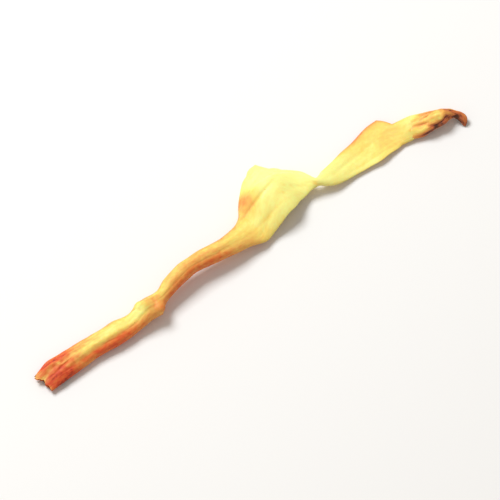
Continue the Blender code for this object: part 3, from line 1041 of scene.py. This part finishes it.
# %% Colours of the tissue
PALE = (0.99, 0.965, 0.3, 1)
GOLDEN = (0.98, 0.71, 0.15, 1)
OCHRE = (0.93, 0.46, 0.1, 1)
BARK = (0.1, 0.03, 0.012, 1)
STEM_ORANGE = (0.86, 0.22, 0.04, 1)
STEM_RUST = (0.78, 0.08, 0.018, 1)
CAP_ORANGE = (0.78, 0.31, 0.07, 1)
CAP_RUST = (0.62, 0.15, 0.045, 1)
print("the stem's stops:", ["Pale"] + [label for label, stop in TINT_STOPS])

# %% Grain of the tissue
# Millimetres: how long and how broad a streak is, and how fine its detail.
COARSE_FIBRES = {"Length": 9.0, "Breadth": 0.55, "Detail": 3.0}
FINE_FIBRES = {"Length": 2.5, "Breadth": 0.09, "Detail": 4.0}
MOTTLING = {"Length": 1.6, "Breadth": 0.9, "Detail": 4.0}
SPECKS = {"Spacing": 1.1, "Size": 0.1}
# How much the mottling browns, and how much of it the smoothest tissue keeps.
MOTTLE_BROWNING = 0.3
MOTTLE_LEAST = 0.3
FLECK_STRENGTH = 0.5
# A noise's middle value, and the values of the coarse fibres over which the roughness grows by its range.
NOISE_MIDDLE = 0.5
FIBRE_LOW = 0.3
FIBRE_HIGH = 0.7
ROUGHNESS_RANGE = 0.2
# The coarse fibres' weight in the bump, the share of it that the smoothest tissue keeps, its strength, and
# its height in metres.
COARSE_BUMP = 1.5
BUMP_LEAST = 0.4
BUMP_STRENGTH = 0.6
BUMP_HEIGHT = 0.00006
LIGHT_IN_TISSUE = {
    "Subsurface Weight": 0.15,
    "Subsurface Radius": (1.0, 0.45, 0.12),
    "Subsurface Scale": 0.0004,
    "Specular IOR Level": 0.35,
}
print("the fine fibres are", FINE_FIBRES["Breadth"], "millimetres broad")

# %% Colour helpers
def attribute(tree, name, output="Fac"):
    """What each point of the mesh keeps under a name."""
    return add(tree, "ShaderNodeAttribute", {"attribute_name": name}).outputs[output]


def tissue_colour(tree, place, shrivelled, coarse, fine, finish):
    """The tint of the browning, shifted by fibres and mottling and browned in the furrows as painted shade,
    then specked and dulled.
    """
    streaks = maths(tree, "SUBTRACT", maths(tree, "ADD", coarse, fine), 2 * NOISE_MIDDLE)
    streaks = maths(tree, "MULTIPLY", streaks, finish["fibre browning"])
    shifted = maths(tree, "MULTIPLY_ADD", streaks, shrivelled, attribute(tree, "browning"))
    mottle = maths(tree, "SUBTRACT", placed(tree, fibres, Place=place, **MOTTLING), NOISE_MIDDLE)
    mottle = maths(tree, "MULTIPLY", mottle, MOTTLE_BROWNING)
    shifted = maths(tree, "MULTIPLY_ADD", mottle, maths(tree, "ADD", shrivelled, MOTTLE_LEAST), shifted)
    # Painted shade: the colour browns further deep in each furrow.
    furrow = attribute(tree, "furrow")
    shifted = maths(tree, "MULTIPLY_ADD", furrow, finish["painted furrow shade"], shifted, clamp=True)
    colour = placed(
        tree, tint, Browning=shifted, Pale=PALE, Golden=GOLDEN, Ochre=OCHRE,
        Orange=finish["orange"], Rust=finish["rust"], Bark=BARK,
    )
    specks = placed(tree, flecks, Place=place, Share=finish["fleck share"], **SPECKS)
    specked = mix(tree, maths(tree, "MULTIPLY", specks, FLECK_STRENGTH), colour, finish["rust"])
    light_kept = maths(tree, "SUBTRACT", 1.0, maths(tree, "MULTIPLY", shrivelled, finish["dulling"]))
    settings = {"operation": "SCALE"}
    return add(tree, "ShaderNodeVectorMath", settings, input0=specked, Scale=light_kept).outputs[0]


print("colour helpers:", attribute.__name__, tissue_colour.__name__)

# %% Material helpers
def new_material(name):
    """A material and its Principled shader."""
    made = bpy.data.materials.new(name)
    made.use_nodes = True
    return made, made.node_tree.nodes["Principled BSDF"]


def dried_tissue(name, finish):
    """A material for one piece of dried tissue."""
    made, shader = new_material(name)
    tree = made.node_tree
    place = attribute(tree, "place", "Vector")
    shrivelled = attribute(tree, "coarse")
    coarse = placed(tree, fibres, Place=place, **COARSE_FIBRES)
    fine = placed(tree, fibres, Place=place, **FINE_FIBRES)
    colour = tissue_colour(tree, place, shrivelled, coarse, fine, finish)
    rough = add(
        tree, "ShaderNodeMapRange", Value=coarse, From_Min=FIBRE_LOW, From_Max=FIBRE_HIGH,
        To_Min=finish["least rough"], To_Max=finish["least rough"] + ROUGHNESS_RANGE,
    ).outputs[0]
    grain = maths(tree, "MULTIPLY_ADD", coarse, COARSE_BUMP, fine)
    grain = maths(tree, "MULTIPLY", grain, maths(tree, "ADD", shrivelled, BUMP_LEAST))
    bump = add(tree, "ShaderNodeBump", Strength=BUMP_STRENGTH, Distance=BUMP_HEIGHT, Height=grain)
    fill(shader, {"Base Color": colour, "Roughness": rough, "Normal": bump.outputs[0]})
    fill(shader, LIGHT_IN_TISSUE)
    return made


STEM_FINISH = {
    "orange": STEM_ORANGE, "rust": STEM_RUST, "painted furrow shade": 0.14, "fibre browning": 0.38,
    "fleck share": 0.1, "least rough": 0.5, "dulling": 0.22,
}
CAP_FINISH = {
    "orange": CAP_ORANGE, "rust": CAP_RUST, "painted furrow shade": 0.3, "fibre browning": 0.5,
    "fleck share": 0.2, "least rough": 0.42, "dulling": 0.08,
}
stem_skin.data.materials.append(dried_tissue("stem tissue", STEM_FINISH))
cap_skin.data.materials.append(dried_tissue("cap tissue", CAP_FINISH))
print("materials:", stem_skin.data.materials[0].name, cap_skin.data.materials[0].name)

# %% [markdown]
# The mushroom lies on a plain pale surface. One flat sheet does it, large enough that its edge never shows.

# %% Make the floor
FLOOR_SIZE = 3.0
FLOOR_COLOUR = (0.88, 0.875, 0.86, 1)
FLOOR_ROUGHNESS = 0.8
bpy.ops.mesh.primitive_plane_add(size=FLOOR_SIZE)
floor = bpy.context.object
floor.name = "floor"
floor_finish, floor_shader = new_material("pale floor")
fill(floor_shader, {"Base Color": FLOOR_COLOUR, "Roughness": FLOOR_ROUGHNESS})
floor.data.materials.append(floor_finish)
print("floor:", FLOOR_SIZE, "metres across")

# %% [markdown]
# The camera looks down at the mushroom from the photograph's angle, 65 degrees above the surface. A long
# lens from well back keeps the strip's proportions, with almost no perspective.

# %% Place the camera
AZIMUTH = math.radians(-34.4)
ELEVATION = math.radians(65)
LENS_MM = 500
SENSOR_MM = 36
# Metres: the width that the picture takes in, the point in its middle and the nearest distance it shows.
FRAME_WIDTH = 0.0812
AIM = Vector((-0.0007, -0.005, 0.001))
NEAREST = 0.01

ahead = Vector((-math.sin(AZIMUTH), math.cos(AZIMUTH), 0)) * math.cos(ELEVATION)
ahead.z = -math.sin(ELEVATION)
distance = FRAME_WIDTH * LENS_MM / SENSOR_MM
camera_data = bpy.data.cameras.new("camera")
camera_data.lens = LENS_MM
camera_data.sensor_width = SENSOR_MM
camera_data.clip_start = NEAREST
camera = new_object("camera", camera_data)
camera.location = AIM - ahead * distance
camera.rotation_euler = ahead.to_track_quat("-Z", "Y").to_euler()
bpy.context.scene.camera = camera
print("camera distance in metres:", round(distance, 3))

# %% [markdown]
# The tissue needs a soft light that still shows its folds. A sun would draw hard shadows, and the
# surroundings alone would draw none. So one broad, slightly cool lamp stands above the far side, and warm,
# pale surroundings fill the shadows.

# %% Set the light
KEY_DIRECTION = Vector((-0.15, 0.85, 1.15)).normalized()
KEY_DISTANCE = 0.6
KEY_SIZE = 0.25
KEY_POWER = 3.5
KEY_COLOUR = (0.96, 0.98, 1.0)
FILL_COLOUR = (1.0, 0.93, 0.85, 1)
FILL_STRENGTH = 0.44

key_data = bpy.data.lights.new("key", "AREA")
key_data.size = KEY_SIZE
key_data.energy = KEY_POWER
key_data.color = KEY_COLOUR
key = new_object("key", key_data)
key.location = KEY_DIRECTION * KEY_DISTANCE
key.rotation_euler = (-KEY_DIRECTION).to_track_quat("-Z", "Y").to_euler()

world = bpy.data.worlds.new("studio")
world.use_nodes = True
fill(world.node_tree.nodes["Background"], {"Color": FILL_COLOUR, "Strength": FILL_STRENGTH})
bpy.context.scene.world = world
bpy.context.scene.view_settings.view_transform = "Standard"
print("key power in watts:", KEY_POWER)

# %% [markdown]
# The skins are only objects in the scene so far. Each rides on the one body, so that it would move with it,
# and stands for its solid, which is then hidden.

# %% Ride, replace and finish
for piece, node in ((stem_skin, "stem"), (cap_skin, "cap")):
    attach(piece, "root")
    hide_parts(node)
